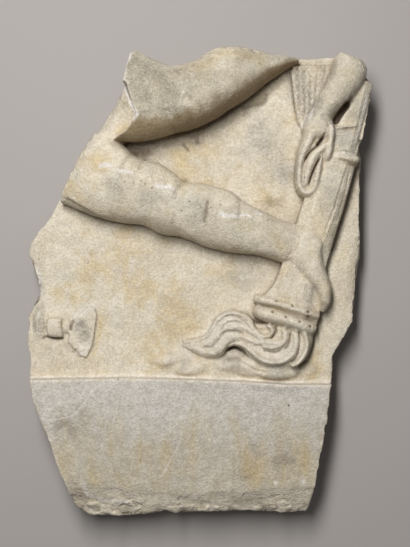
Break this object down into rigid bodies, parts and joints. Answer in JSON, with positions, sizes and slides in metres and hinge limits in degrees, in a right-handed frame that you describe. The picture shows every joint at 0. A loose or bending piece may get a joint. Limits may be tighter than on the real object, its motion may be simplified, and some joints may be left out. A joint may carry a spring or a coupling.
{
  "type": "marble relief fragment",
  "caption": "Broken block of a carved marble relief with its plain plinth band: infant limbs, a torch held upside down with its flames, and a wing tip. It lies on its flat back.",
  "frame": {"origin": "middle of the flat back, at the bottom centre of the box", "axes": "+X to the right of the relief, +Y towards its top, +Z out of the carved face"},
  "size_m": [0.463, 0.6192, 0.1404],
  "materials": {
    "marble": "weathered cream marble with honey and grey patina, matt, with paler fresh breaks"
  },
  "bodies": {
    "root": {"relief_fragment": "marble"}
  },
  "joints": []
}
